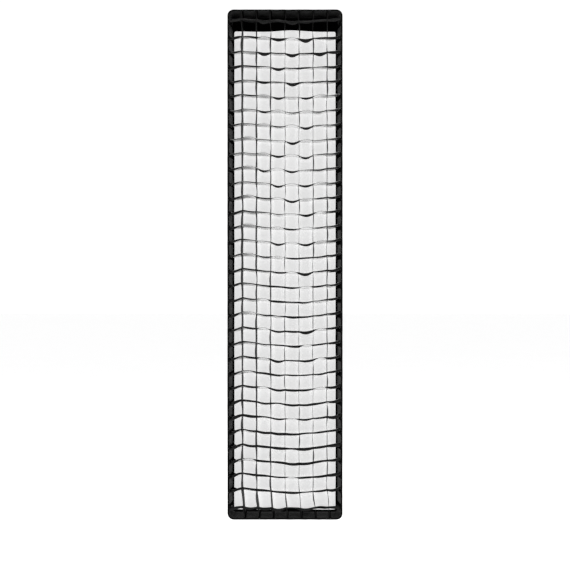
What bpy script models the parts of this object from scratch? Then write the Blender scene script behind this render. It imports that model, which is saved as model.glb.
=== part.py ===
"""Strip softbox with a fabric grid: a tall, narrow light modifier on a round speedring.

Metres, +Z up along the tall side, -Y towards the subject. The origin is the centre of the
face that seats against the lamp head. Each object is one piece of the assembly.
"""

import math

import bmesh
import bpy
from mathutils import Vector

# Overall sizes
RIM_WIDTH = 0.405
RIM_HEIGHT = 1.800
TOTAL_DEPTH = 0.490  # lamp face to front rim
GAP = 0.0003  # clearance kept between pieces that touch
FIT = 0.0004  # radial clearance of a round piece in its seat
TAPE_GAP = 0.0004  # between a hook tape and the loop tape it grips

# Grid: upright and cross strips inside a sewn band; the outer cells take up what is left
UPRIGHT_PITCH = 0.050
CROSS_PITCH = 0.0517
GRID_START = 0.0015  # behind the rim
GRID_DEPTH = 0.055
GRID_BAND_WALL = 0.0012
STRIP_WALL = 0.0011
GRID_TO_DIFFUSER = 0.0012  # free space between the grid and the diffuser's tape

# Front diffuser: white cloth in a black hem, held by a hook tape that stands against the lip
HOOK_TAPE_WALL = 0.0010
HOOK_TAPE_WIDTH = 0.0135
HOOK_TAPE_START = GRID_START + GRID_DEPTH + GRID_TO_DIFFUSER
DIFFUSER_START = HOOK_TAPE_START + HOOK_TAPE_WIDTH + GAP
DIFFUSER_WALL = 0.0010
HEM_WALL = 0.0010
HEM_TOP = 0.043
HEM_SIDE = 0.005
HEM_BOTTOM = 0.003

# Front lip: a shallow fabric wall that stands ahead of the front diffuser and flares forwards
DIFFUSER_TO_SHELL = 0.0012
LIP_DEPTH = DIFFUSER_START + HEM_WALL + GAP + DIFFUSER_WALL + DIFFUSER_TO_SHELL
LIP_FLARE = 0.0123  # how far the lip widens on each side, base to rim
LIP_WALL = 0.0009
RIM_CORNER = 0.020
BASE_CORNER = 0.014
LEAST_CORNER = 0.004
LIP_SEAM = 67.5  # degrees of each corner that the top or bottom strip takes up
LOOP_TAPE_WALL = 0.0006

# Rim binding: a tape folded over the lip's front edge
BINDING_DEPTH = 0.009
BINDING_FRONT = 0.0009
BINDING_OUTER = 0.0006
BINDING_INNER = 0.0010
LIP_INSET = BINDING_OUTER + GAP
LIP_FACE = LIP_INSET + LIP_WALL
BINDING_FACE = LIP_FACE + GAP + BINDING_INNER
GRID_TAPE_WIDTH = 0.028

# Insert: a turning flange with a hub and a bayonet collar for the lamp head
FLANGE_RADIUS = 0.072
FLANGE_FRONT = -0.013
FLANGE_BACK = -0.008
FLANGE_EDGE = 0.0006
HUB_STEP = 0.0065
HUB_RADIUS = FLANGE_RADIUS - HUB_STEP
COLLAR_RADIUS = 0.0490
COLLAR_WALL = 0.0025
COLLAR_END = 0.009
LUG_REACH = 0.0045
LUG_ROOT = 0.0012  # how deep a lug's foot stands in the collar
LUG_START = 0.0062
LUG_END = 0.0082
LUG_COUNT = 3
LUG_ANGLE = math.radians(36)
LUG_STEPS = 6

# Speedring: a cast ring round the insert, with four rod sockets
RUNNING = 0.0005  # radial clearance of the turning insert
AXIAL = 0.0004
GROOVE_RADIUS = FLANGE_RADIUS + RUNNING
RING_WALL = 0.0105
RING_RADIUS = GROOVE_RADIUS + RING_WALL
RING_BACK = -0.003
RING_FRONT = -0.047
RING_EDGE = 0.0015

# Retainer: a plate screwed into the ring's front recess that keeps the insert in
RETAINER_SEAT = RING_RADIUS - 0.0035  # radius of the recess
RETAINER_FACE = FLANGE_FRONT - AXIAL
RETAINER_WALL = 0.0020
RETAINER_INNER = FLANGE_RADIUS - 0.008
SCREW_RADIUS = 0.0015
SCREW_HEAD_RADIUS = 0.0028
SCREW_HEAD = 0.0018
SCREW_DEPTH = 0.0029  # thread in the ring
SCREW_HOLE_DEPTH = 0.0055
SCREW_CIRCLE = (GROOVE_RADIUS + RETAINER_SEAT) / 2
SCREW_COUNT = 4

# Rods: spring steel, a ferrule at the speedring and a cap in each front corner pocket
ROD_RADIUS = 0.0020
ROD_STATIONS = 22
ROD_OFFSET_REAR = 0.0165  # behind the cloth, along the cloth's normal
ROD_OFFSET_FRONT = 0.0095
ROD_INSET_FRONT = 0.0115  # from the side panel
ROD_END_SHARE = 0.93  # share of the corner curve where the rod ends
SOCKET_STANDOFF = 0.0178  # from the ring's edge to the start of the rod's bend
SOCKET_BELOW = 0.022  # socket length towards the ring from there
SOCKET_ABOVE = 0.012
SOCKET_FLOOR = 0.006
SOCKET_WALL = 0.0035
FERRULE_WALL = 0.0012
FERRULE_LENGTH = 0.026
FERRULE_RADIUS = ROD_RADIUS + FIT + FERRULE_WALL
SOCKET_RADIUS = FERRULE_RADIUS + FIT + SOCKET_WALL
CAP_WALL = 0.0024
CAP_RADIUS = ROD_RADIUS + FIT + CAP_WALL
CAP_LENGTH = 0.017
CAP_SEAT = 0.012  # length of rod inside the cap
POCKET_WALL = 0.0026
POCKET_RADIUS = CAP_RADIUS + FIT + POCKET_WALL
POCKET_LENGTH = 0.021

# Rotation lock: a thumb screw that presses on the insert's flange
LOCK_Y = (FLANGE_FRONT + FLANGE_BACK) / 2
LOCK_RADIUS = 0.0025
LOCK_CLEARANCE = 0.0003
LOCK_BOSS_RADIUS = 0.0060
LOCK_BOSS_ROOT = 0.004  # how far into the ring's wall the boss starts
LOCK_BOSS_END = RING_RADIUS + 0.0055
KNOB_START = LOCK_BOSS_END + 0.0010
KNOB_LENGTH = 0.0165
KNOB_RADIUS = 0.0085
KNOB_NECK = 0.0068
KNOB_LOBE = 0.0010
KNOB_LOBES = 6
KNOB_STEPS = 36
KNOB_SOCKET = 0.0080  # depth of the screw inside the knob

# Shell: four tapered cloth panels, bowed outwards by the rods
PANEL_WALL = 0.0010
PANEL_STATIONS = 14
COLLAR_BORDER = 0.005  # cloth between the speedring and the side panels
REAR_HALF = RING_RADIUS + COLLAR_BORDER  # half the square opening round the speedring
REAR_Y = -0.0228
REAR_DIRECTION = Vector((0.13, -0.23, 0.96)).normalized()
FRONT_DIRECTION = Vector((0.10, -0.62, 0.78)).normalized()
BOW_REACH = 0.32  # how far each end direction carries into the curve
SEAM_RADIUS = 0.0022
SEAM_OFFSET = SEAM_RADIUS + 0.0004
SEAM_ENDS = (0.01, 0.98)  # shares of the corner curve

# Rear cloth round the speedring, and the strap that draws it tight
REAR_CLOTH_WALL = 0.0015
REAR_CLOTH_CORNER = 0.018
STRAP_WALL = 0.0014
STRAP_WIDTH = 0.0038

# Inner baffle and its elastic tabs
BAFFLE_SHARE = 0.62  # place along the corner curve
BAFFLE_MARGIN = 0.026
BAFFLE_WALL = 0.0010
BAFFLE_CORNER = 0.020
BAFFLE_BINDING = 0.010
TAB_WIDTH = 0.015
TAB_WALL = 0.0012
TAB_OVERLAP = 0.022
TAB_CORNER_INSET = 0.060

TURN_STEPS = 48
SMALL_STEPS = 16
SCREW_STEPS = 12
CORNER_STEPS = 4
PAST = 0.006  # how far a cutter runs past the face it opens


RIM_Y = -TOTAL_DEPTH
HALF_WIDTH = RIM_WIDTH / 2
HALF_HEIGHT = RIM_HEIGHT / 2
CORNERS = {
    "top_left": (-1, 1),
    "top_right": (1, 1),
    "bottom_left": (-1, -1),
    "bottom_right": (1, -1),
}
MATERIALS = {}


def clear_scene():
    for obj in list(bpy.data.objects):
        bpy.data.objects.remove(obj, do_unlink=True)


def material(name, colour, roughness, metallic=0.0):
    if name not in MATERIALS:
        made = bpy.data.materials.new(name)
        made.use_nodes = True
        shader = made.node_tree.nodes["Principled BSDF"]
        shader.inputs["Base Color"].default_value = (*colour, 1.0)
        shader.inputs["Roughness"].default_value = roughness
        shader.inputs["Metallic"].default_value = metallic
        made.diffuse_color = (*colour, 1.0)
        MATERIALS[name] = made
    return MATERIALS[name]


def black_cloth():
    return material("black_cloth", (0.020, 0.020, 0.022), 0.62)


def white_cloth():
    return material("white_cloth", (0.82, 0.82, 0.83), 0.80)


def webbing():
    return material("webbing", (0.012, 0.012, 0.013), 0.75)


def spring_steel():
    return material("spring_steel", (0.55, 0.56, 0.58), 0.32, 1.0)


def cast_alloy():
    return material("cast_alloy", (0.045, 0.045, 0.048), 0.50, 0.6)


def plated_steel():
    return material("plated_steel", (0.62, 0.63, 0.65), 0.28, 1.0)


def hard_plastic():
    return material("hard_plastic", (0.018, 0.018, 0.020), 0.42)


def add_object(name, mesh, finish, parent=None, location=(0, 0, 0), direction=None):
    """Place a mesh as a named piece; its local Z points along direction."""
    obj = bpy.data.objects.new(name, mesh)
    bpy.context.scene.collection.objects.link(obj)
    obj.parent = parent
    obj.location = location
    if direction is not None:
        obj.rotation_euler = Vector(direction).to_track_quat("Z", "X").to_euler()
    if finish is not None:
        mesh.materials.append(finish)
    mesh.shade_smooth()
    mesh.set_sharp_from_angle(angle=math.radians(30))
    return obj


def mesh_from(name, bm):
    bmesh.ops.recalc_face_normals(bm, faces=bm.faces[:])
    mesh = bpy.data.meshes.new(name)
    bm.to_mesh(mesh)
    bm.free()
    return mesh


def loops_mesh(name, loops, closed):
    """Join rings of points in order; a closed set makes a frame, an open one is capped."""
    bm = bmesh.new()
    rings = [[bm.verts.new(point) for point in loop] for loop in loops]
    pairs = list(zip(rings, rings[1:]))
    if closed:
        pairs.append((rings[-1], rings[0]))
    for near, far in pairs:
        count = len(near)
        for k in range(count):
            after = (k + 1) % count
            bm.faces.new((near[k], near[after], far[after], far[k]))
    if not closed:
        bm.faces.new(rings[0])
        bm.faces.new(list(reversed(rings[-1])))
    return mesh_from(name, bm)


def circle(radius, height, steps, lobes=0, lobe=0.0):
    points = []
    for k in range(steps):
        angle = 2 * math.pi * k / steps
        reach = radius + lobe * math.cos(lobes * angle)
        points.append((reach * math.cos(angle), reach * math.sin(angle), height))
    return points


def turned_mesh(name, profile, closed, steps=SMALL_STEPS):
    """A profile of (radius, height) turned about local Z."""
    return loops_mesh(name, [circle(r, h, steps) for r, h in profile], closed)


def rod_mesh(name, radius, length):
    return turned_mesh(name, [(radius, 0.0), (radius, length)], False)


def helper(name, mesh, location=(0, 0, 0), direction=None):
    """A Boolean's tool: seen as wire and left out of the model."""
    obj = add_object(name, mesh, None, None, location, direction)
    obj.hide_render = True
    obj.display_type = "WIRE"
    return obj


def boolean(target, tool, operation):
    modifier = target.modifiers.new(tool.name, "BOOLEAN")
    modifier.operation = operation
    modifier.solver = "EXACT"
    modifier.object = tool


def rounded_rectangle(half_width, half_height, corner, y, centre_z=0.0):
    points = []
    quarters = (((1, 1), 0), ((-1, 1), 90), ((-1, -1), 180), ((1, -1), 270))
    for (side_x, side_z), start in quarters:
        centre = Vector((side_x * (half_width - corner), side_z * (half_height - corner)))
        for step in range(CORNER_STEPS + 1):
            angle = math.radians(start + 90 * step / CORNER_STEPS)
            x = centre.x + corner * math.cos(angle)
            z = centre.y + corner * math.sin(angle)
            points.append((x, y, z + centre_z))
    return points


def lip_outset(depth):
    """How far the lip's outer face lies inside the rim's outline at a depth behind the rim."""
    return LIP_FLARE * depth / LIP_DEPTH


def lip_corner(depth):
    return RIM_CORNER + (BASE_CORNER - RIM_CORNER) * depth / LIP_DEPTH


def lip_loop(depth, inset):
    """The lip's outline at a depth, moved in by inset from its outer face."""
    outset = lip_outset(depth) + inset
    corner = max(lip_corner(depth) - inset, LEAST_CORNER)
    return rounded_rectangle(HALF_WIDTH - outset, HALF_HEIGHT - outset, corner, RIM_Y + depth)


def lip_ring(name, start, end, inset_start, inset_end, wall, finish, parent):
    """A frame between two depths whose outer face lies at the given insets."""
    loops = [
        lip_loop(start, inset_start),
        lip_loop(end, inset_end),
        lip_loop(end, inset_end + wall),
        lip_loop(start, inset_start + wall),
    ]
    return add_object(name, loops_mesh(name, loops, True), finish, parent)


def lip_wall_points(depth, inset, quarter):
    """One side of the lip, from its seam in one rounded corner to its seam in the next."""
    outset = lip_outset(depth) + inset
    corner = lip_corner(depth) - inset
    trim = math.degrees(GAP / 2 / corner)
    seam = 90 - LIP_SEAM if quarter % 2 == 0 else LIP_SEAM
    first = [seam + trim] + [angle for angle in (22.5, 45, 67.5, 90) if angle > seam]
    last = [90 - angle for angle in reversed(first)]
    points = []
    for turn, angles in ((quarter, first), (quarter + 1, last)):
        side_x = 1 if turn % 4 in (0, 3) else -1
        side_z = 1 if turn % 4 in (0, 1) else -1
        for angle in angles:
            bearing = math.radians(90 * turn + angle)
            x = side_x * (HALF_WIDTH - outset - corner) + corner * math.cos(bearing)
            z = side_z * (HALF_HEIGHT - outset - corner) + corner * math.sin(bearing)
            points.append((x, RIM_Y + depth, z))
    return points


def build_lip_walls(parent):
    """The lip is sewn from four cloth strips that meet in the corners."""
    edges = ((BINDING_FRONT + GAP, LIP_INSET), (LIP_DEPTH, LIP_INSET), (LIP_DEPTH, LIP_FACE),
             (BINDING_FRONT + GAP, LIP_FACE))
    for quarter, side in enumerate(("top", "left", "bottom", "right")):
        lines = [lip_wall_points(depth, inset, quarter) for depth, inset in edges]
        mesh = loops_mesh(f"front_lip_{side}", list(zip(*lines)), False)
        add_object(f"front_lip_{side}", mesh, black_cloth(), parent)


def corner_curve(share):
    """Outer corner of the shell in the +X, +Z quarter, from the speedring to the lip."""
    front_outset = lip_outset(LIP_DEPTH) + LIP_INSET
    front_y = RIM_Y + LIP_DEPTH + GAP
    start = Vector((REAR_HALF, REAR_Y, REAR_HALF))
    end = Vector((HALF_WIDTH - front_outset, front_y, HALF_HEIGHT - front_outset))
    first = start + BOW_REACH * REAR_DIRECTION
    second = end - BOW_REACH * FRONT_DIRECTION
    rest = 1 - share
    near = rest**3 * start + 3 * rest**2 * share * first
    return near + 3 * rest * share**2 * second + share**3 * end


def corner_slope(share):
    step = 0.001
    low, high = max(share - step, 0.0), min(share + step, 1.0)
    return (corner_curve(high) - corner_curve(low)).normalized()


def top_normal(share):
    slope = corner_slope(share)
    return Vector((0.0, slope.z, -slope.y)).normalized()


def side_normal(share):
    slope = corner_slope(share)
    return Vector((-slope.y, slope.x, 0.0)).normalized()


def panel_mesh(name, outer, inner):
    """A sheet between two rows of point pairs, one pair for each station."""
    loops = []
    for (a, b), (c, d) in zip(outer, inner):
        loops.append([a, b, d, c])
    return loops_mesh(name, loops, False)


def build_side_panel(name, side, parent):
    outer, inner = [], []
    for k in range(PANEL_STATIONS):
        share = k / (PANEL_STATIONS - 1)
        edge = corner_curve(share)
        back = -side_normal(share) * PANEL_WALL
        if share == 1.0:
            back.y = 0.0
        rows = ((outer, edge), (inner, edge + back))
        for row, point in rows:
            row.append([(side * point.x, point.y, edge.z), (side * point.x, point.y, -edge.z)])
    add_object(name, panel_mesh(name, outer, inner), black_cloth(), parent)


def build_end_panel(name, side, parent):
    outer, inner = [], []
    clear = PANEL_WALL * 1.1 + GAP
    for k in range(PANEL_STATIONS):
        share = k / (PANEL_STATIONS - 1)
        edge = corner_curve(share)
        normal = top_normal(share)
        back = -normal * PANEL_WALL
        if share == 1.0:
            back = Vector((0.0, 0.0, -PANEL_WALL / normal.z))
        half = edge.x - clear
        for row, point in ((outer, edge), (inner, edge + back)):
            row.append([(-half, point.y, side * point.z), (half, point.y, side * point.z)])
    add_object(name, panel_mesh(name, outer, inner), black_cloth(), parent)


def tube(name, points, radius, sides, finish, parent):
    """A round bar or piping along a smooth line."""
    curve = bpy.data.curves.new(name, "CURVE")
    curve.dimensions = "3D"
    curve.bevel_depth = radius
    curve.bevel_resolution = sides
    curve.use_fill_caps = True
    spline = curve.splines.new("POLY")
    spline.points.add(len(points) - 1)
    for slot, point in zip(spline.points, points):
        slot.co = (*point, 1.0)
    obj = bpy.data.objects.new(name, curve)
    bpy.context.scene.collection.objects.link(obj)
    obj.parent = parent
    curve.materials.append(finish)
    return obj


def mirrored(point, signs):
    return Vector((point.x * signs[0], point.y, point.z * signs[1]))


def build_shell(parent):
    build_side_panel("panel_left", -1, parent)
    build_side_panel("panel_right", 1, parent)
    build_end_panel("panel_top", 1, parent)
    build_end_panel("panel_bottom", -1, parent)
    first, last = SEAM_ENDS
    for corner, signs in CORNERS.items():
        line = []
        for k in range(PANEL_STATIONS + 2):
            share = first + (last - first) * k / (PANEL_STATIONS + 1)
            outwards = (side_normal(share) + top_normal(share)).normalized()
            line.append(mirrored(corner_curve(share) + outwards * SEAM_OFFSET, signs))
        tube(f"corner_seam_{corner}", line, SEAM_RADIUS, 1, webbing(), parent)


def tape_face():
    """Inset of the loop tapes' inner face."""
    return LIP_FACE + GAP + LOOP_TAPE_WALL


def build_lip(parent):
    slot = LIP_FACE + GAP
    fold = [(0.0, 0.0), (BINDING_DEPTH, 0.0), (BINDING_DEPTH, BINDING_OUTER),
            (BINDING_FRONT, BINDING_OUTER), (BINDING_FRONT, slot), (BINDING_DEPTH, slot),
            (BINDING_DEPTH, BINDING_FACE), (0.0, BINDING_FACE)]
    loops = [lip_loop(depth, inset) for depth, inset in fold]
    add_object("rim_binding", loops_mesh("rim_binding", loops, True), webbing(), parent)
    build_lip_walls(parent)
    inset = LIP_FACE + GAP
    tape_start = GRID_START + (GRID_DEPTH - GRID_TAPE_WIDTH) / 2
    lip_ring("grid_loop_tape", tape_start, tape_start + GRID_TAPE_WIDTH, inset, inset,
             LOOP_TAPE_WALL, webbing(), parent)
    lip_ring("diffuser_loop_tape", HOOK_TAPE_START, DIFFUSER_START, inset, inset,
             LOOP_TAPE_WALL, webbing(), parent)


def grid_inset(depth):
    """Inset of the grid band's outer face, straight from the binding to the loop tape."""
    start = BINDING_FACE + TAPE_GAP
    end = tape_face() + TAPE_GAP
    return start + (end - start) * (depth - GRID_START) / GRID_DEPTH


def grid_half_sizes(depth):
    inset = lip_outset(depth) + grid_inset(depth) + GRID_BAND_WALL + GAP
    return HALF_WIDTH - inset, HALF_HEIGHT - inset


def strip_breaks(half, rear_half, pitch):
    """Edges of the strips along one side of the lattice: as many as the narrower rear holds."""
    strips = int(2 * rear_half // pitch)
    edges = [-half]
    for k in range(strips):
        middle = (k - (strips - 1) / 2) * pitch
        edges += [middle - STRIP_WALL / 2, middle + STRIP_WALL / 2]
    return edges + [half]


def build_grid(parent):
    start, end = GRID_START, GRID_START + GRID_DEPTH
    lip_ring("grid_band", start, end, grid_inset(start), grid_inset(end), GRID_BAND_WALL,
             black_cloth(), parent)
    bm = bmesh.new()
    places = {}
    rear_half_x, rear_half_z = grid_half_sizes(end)
    for layer, depth in enumerate((start, end)):
        half_x, half_z = grid_half_sizes(depth)
        xs = strip_breaks(half_x, rear_half_x, UPRIGHT_PITCH)
        zs = strip_breaks(half_z, rear_half_z, CROSS_PITCH)
        for i, x in enumerate(xs):
            for j, z in enumerate(zs):
                places[layer, i, j] = Vector((x, RIM_Y + depth, z))
    columns, rows = len(xs) - 1, len(zs) - 1
    verts = {}

    def vert(layer, i, j):
        key = (layer, i, j)
        if key not in verts:
            verts[key] = bm.verts.new(places[key])
        return verts[key]

    def filled(i, j):
        return 0 <= i < columns and 0 <= j < rows and (i % 2 == 1 or j % 2 == 1)

    squares = [(i, j) for i in range(columns) for j in range(rows) if filled(i, j)]
    for i, j in squares:
        for layer in (0, 1):
            square = ((i, j), (i + 1, j), (i + 1, j + 1), (i, j + 1))
            bm.faces.new([vert(layer, a, b) for a, b in square])
        sides = (
            ((i, j - 1), (i, j), (i + 1, j)),
            ((i + 1, j), (i + 1, j), (i + 1, j + 1)),
            ((i, j + 1), (i + 1, j + 1), (i, j + 1)),
            ((i - 1, j), (i, j + 1), (i, j)),
        )
        for neighbour, a, b in sides:
            if not filled(*neighbour):
                bm.faces.new((vert(0, *a), vert(0, *b), vert(1, *b), vert(1, *a)))
    add_object("grid_lattice", mesh_from("grid_lattice", bm), black_cloth(), parent)


def build_diffuser(parent):
    inset = tape_face() + TAPE_GAP
    lip_ring("diffuser_hook_tape", HOOK_TAPE_START, HOOK_TAPE_START + HOOK_TAPE_WIDTH, inset, inset,
             HOOK_TAPE_WALL, webbing(), parent)

    hem_end = DIFFUSER_START + HEM_WALL
    outset = lip_outset(hem_end) + inset
    half_width, half_height = HALF_WIDTH - outset, HALF_HEIGHT - outset
    open_width = half_width - HEM_SIDE
    open_height = half_height - (HEM_TOP + HEM_BOTTOM) / 2
    drop = (HEM_BOTTOM - HEM_TOP) / 2
    corner = lip_corner(hem_end) - inset
    loops = [
        rounded_rectangle(half_width, half_height, corner, RIM_Y + DIFFUSER_START),
        rounded_rectangle(half_width, half_height, corner, RIM_Y + hem_end),
        rounded_rectangle(open_width, open_height, corner, RIM_Y + hem_end, drop),
        rounded_rectangle(open_width, open_height, corner, RIM_Y + DIFFUSER_START, drop),
    ]
    add_object("diffuser_hem", loops_mesh("diffuser_hem", loops, True), webbing(), parent)

    cloth_start = hem_end + GAP
    loops = []
    for depth in (cloth_start, cloth_start + DIFFUSER_WALL):
        loops.append(rounded_rectangle(half_width - GAP, half_height - GAP, corner, RIM_Y + depth))
    add_object("front_diffuser", loops_mesh("front_diffuser", loops, False), white_cloth(), parent)


def rod_inset_rear():
    """Distance from the side panel that puts the rod's foot on the speedring's wall."""
    height = (corner_curve(0.0) - top_normal(0.0) * ROD_OFFSET_REAR).z
    reach = RING_RADIUS + SOCKET_STANDOFF
    return REAR_HALF - math.sqrt(reach**2 - height**2)


def rod_point(share):
    """The rod's line in the +X, +Z quarter: inside the corner, closer to the cloth at the front."""
    ease = share * (2 - share)
    offset = ROD_OFFSET_REAR + (ROD_OFFSET_FRONT - ROD_OFFSET_REAR) * ease
    inset = rod_inset_rear() + (ROD_INSET_FRONT - rod_inset_rear()) * ease
    point = corner_curve(share) - top_normal(share) * offset
    point.x -= inset
    return point


def rod_direction(share):
    step = 0.004
    low, high = max(share - step, 0.0), min(share + step, 1.0)
    return (rod_point(high) - rod_point(low)).normalized()


def ferrule_profile():
    bore = ROD_RADIUS + FIT
    return [(bore, 0.0), (FERRULE_RADIUS, 0.0), (FERRULE_RADIUS, FERRULE_LENGTH),
            (bore, FERRULE_LENGTH)]


def cap_profile():
    bore = ROD_RADIUS + FIT
    bottom = CAP_SEAT + FIT
    return [(bore, bottom), (bore, 0.0), (CAP_RADIUS * 0.82, 0.0), (CAP_RADIUS, 0.0015),
            (CAP_RADIUS, CAP_LENGTH * 0.75), (CAP_RADIUS * 0.72, CAP_LENGTH * 0.95),
            (CAP_RADIUS * 0.30, CAP_LENGTH)]


def pocket_profile():
    bore = CAP_RADIUS + FIT
    bottom = CAP_LENGTH + FIT
    return [(bore, bottom), (bore, 0.0), (POCKET_RADIUS, 0.0),
            (POCKET_RADIUS, POCKET_LENGTH * 0.7), (POCKET_RADIUS * 0.55, POCKET_LENGTH)]


def build_rods(parent):
    end_point = rod_point(ROD_END_SHARE)
    end_direction = rod_direction(ROD_END_SHARE)
    start_direction = rod_direction(0.0)
    start_point = rod_point(0.0) - start_direction * (SOCKET_BELOW - SOCKET_FLOOR)
    for corner, signs in CORNERS.items():
        line = [start_point]
        for k in range(ROD_STATIONS):
            line.append(rod_point(ROD_END_SHARE * k / (ROD_STATIONS - 1)))
        line.append(end_point + end_direction * CAP_SEAT)
        points = [mirrored(point, signs) for point in line]
        tube(f"rod_{corner}", points, ROD_RADIUS, 2, spring_steel(), parent)
        seat = mirrored(end_point, signs)
        outwards = mirrored(end_direction, signs)
        cap = turned_mesh(f"rod_cap_{corner}", cap_profile(), False)
        add_object(f"rod_cap_{corner}", cap, hard_plastic(), parent, seat, outwards)
        pocket = turned_mesh(f"corner_pocket_{corner}", pocket_profile(), False)
        add_object(f"corner_pocket_{corner}", pocket, webbing(), parent, seat, outwards)
        sleeve = turned_mesh(f"rod_ferrule_{corner}", ferrule_profile(), True)
        foot = mirrored(start_point + start_direction * FIT, signs)
        add_object(f"rod_ferrule_{corner}", sleeve, plated_steel(), parent, foot,
                   mirrored(start_direction, signs))


def build_speedring(parent):
    lip = HUB_RADIUS + RUNNING
    edge = RING_RADIUS - RING_EDGE
    blank = [(edge, RING_FRONT), (RING_RADIUS, RING_FRONT + RING_EDGE),
             (RING_RADIUS, RING_BACK - RING_EDGE), (edge, RING_BACK), (lip, RING_BACK),
             (lip, FLANGE_BACK + AXIAL), (GROOVE_RADIUS, FLANGE_BACK + AXIAL),
             (GROOVE_RADIUS, RETAINER_FACE), (RETAINER_SEAT, RETAINER_FACE),
             (RETAINER_SEAT, RING_FRONT)]
    mesh = turned_mesh("speedring", blank, True, TURN_STEPS)
    ring = add_object("speedring", mesh, cast_alloy(), parent, direction=(0, 1, 0))

    along = rod_direction(0.0)
    foot = rod_point(0.0) - along * SOCKET_BELOW
    length = SOCKET_BELOW + SOCKET_ABOVE
    rounded = SOCKET_RADIUS - RING_EDGE
    outside = [(SOCKET_RADIUS, 0.0), (SOCKET_RADIUS, length - RING_EDGE), (rounded, length)]
    bore = FERRULE_RADIUS + FIT
    for corner, signs in CORNERS.items():
        boss = turned_mesh(f"socket_boss_{corner}", outside, False)
        place, aim = mirrored(foot, signs), mirrored(along, signs)
        boolean(ring, helper(f"socket_boss_{corner}", boss, place, aim), "UNION")
    boss_start = GROOVE_RADIUS + LOCK_BOSS_ROOT
    boss = rod_mesh("lock_boss", LOCK_BOSS_RADIUS, LOCK_BOSS_END - boss_start)
    boolean(ring, helper("lock_boss", boss, (boss_start, LOCK_Y, 0), (1, 0, 0)), "UNION")

    clear = turned_mesh("recess_cut", [(RETAINER_SEAT, RING_FRONT - PAST),
                                       (RETAINER_SEAT, RETAINER_FACE)], False, TURN_STEPS)
    boolean(ring, helper("recess_cut", clear, direction=(0, 1, 0)), "DIFFERENCE")
    for corner, signs in CORNERS.items():
        drill = rod_mesh(f"socket_bore_{corner}", bore, length - SOCKET_FLOOR + PAST)
        place, aim = mirrored(foot + along * SOCKET_FLOOR, signs), mirrored(along, signs)
        boolean(ring, helper(f"socket_bore_{corner}", drill, place, aim), "DIFFERENCE")
    hole_start = GROOVE_RADIUS - PAST
    hole = rod_mesh("lock_hole", LOCK_RADIUS + LOCK_CLEARANCE, LOCK_BOSS_END + PAST - hole_start)
    boolean(ring, helper("lock_hole", hole, (hole_start, LOCK_Y, 0), (1, 0, 0)), "DIFFERENCE")
    for k, (x, z) in enumerate(screw_places()):
        hole = rod_mesh(f"ring_hole_{k}", SCREW_RADIUS + GAP, PAST + SCREW_HOLE_DEPTH)
        place = (x, RETAINER_FACE - PAST, z)
        boolean(ring, helper(f"ring_hole_{k}", hole, place, (0, 1, 0)), "DIFFERENCE")


def screw_places():
    spots = []
    for k in range(SCREW_COUNT):
        angle = 2 * math.pi * (k + 0.5) / SCREW_COUNT
        spots.append((SCREW_CIRCLE * math.cos(angle), SCREW_CIRCLE * math.sin(angle)))
    return spots


def build_retainer(parent):
    back = RETAINER_FACE - GAP
    front = back - RETAINER_WALL
    seat = RETAINER_SEAT - FIT
    profile = [(RETAINER_INNER, front), (seat, front), (seat, back), (RETAINER_INNER, back)]
    mesh = turned_mesh("insert_retainer", profile, True, TURN_STEPS)
    plate = add_object("insert_retainer", mesh, plated_steel(), parent, direction=(0, 1, 0))
    shank = GAP + RETAINER_WALL + GAP + SCREW_DEPTH
    rim, top = SCREW_HEAD_RADIUS * 0.7, SCREW_HEAD * 0.4
    profile = [(rim, 0.0), (SCREW_HEAD_RADIUS, top), (SCREW_HEAD_RADIUS, SCREW_HEAD),
               (SCREW_RADIUS, SCREW_HEAD), (SCREW_RADIUS, SCREW_HEAD + shank)]
    for k, (x, z) in enumerate(screw_places()):
        hole = rod_mesh(f"plate_hole_{k}", SCREW_RADIUS + GAP, RETAINER_WALL + 2 * PAST)
        tool = helper(f"plate_hole_{k}", hole, (x, front - PAST, z), (0, 1, 0))
        boolean(plate, tool, "DIFFERENCE")
        screw = turned_mesh(f"retainer_screw_{k + 1}", profile, False, SCREW_STEPS)
        place = (x, front - GAP - SCREW_HEAD, z)
        add_object(f"retainer_screw_{k + 1}", screw, plated_steel(), parent, place, (0, 1, 0))


def lug_mesh(name, middle):
    """A bayonet lug: a stretch of ring that reaches out from the insert's collar."""
    inner, outer = COLLAR_RADIUS - LUG_ROOT, COLLAR_RADIUS + LUG_REACH
    low, high = Vector((0, 0, LUG_START)), Vector((0, 0, LUG_END))
    loops = []
    for k in range(LUG_STEPS + 1):
        angle = middle - LUG_ANGLE / 2 + LUG_ANGLE * k / LUG_STEPS
        ray = Vector((math.cos(angle), math.sin(angle), 0.0))
        loops.append([ray * inner + low, ray * outer + low, ray * outer + high, ray * inner + high])
    return loops_mesh(name, loops, False)


def build_insert(parent):
    """The turning mount: flange, hub and bayonet collar in one piece."""
    bore = COLLAR_RADIUS - COLLAR_WALL
    profile = [(bore, FLANGE_FRONT), (FLANGE_RADIUS - FLANGE_EDGE, FLANGE_FRONT),
               (FLANGE_RADIUS, FLANGE_FRONT + FLANGE_EDGE), (FLANGE_RADIUS, FLANGE_BACK),
               (HUB_RADIUS, FLANGE_BACK), (HUB_RADIUS, 0.0), (COLLAR_RADIUS, 0.0),
               (COLLAR_RADIUS, COLLAR_END), (bore, COLLAR_END)]
    mesh = turned_mesh("mount_insert", profile, True, TURN_STEPS)
    insert = add_object("mount_insert", mesh, plated_steel(), parent, direction=(0, 1, 0))
    for k in range(LUG_COUNT):
        middle = math.radians(90) + 2 * math.pi * k / LUG_COUNT
        tool = helper(f"lug_{k}", lug_mesh(f"lug_{k}", middle), direction=(0, 1, 0))
        boolean(insert, tool, "UNION")


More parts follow.
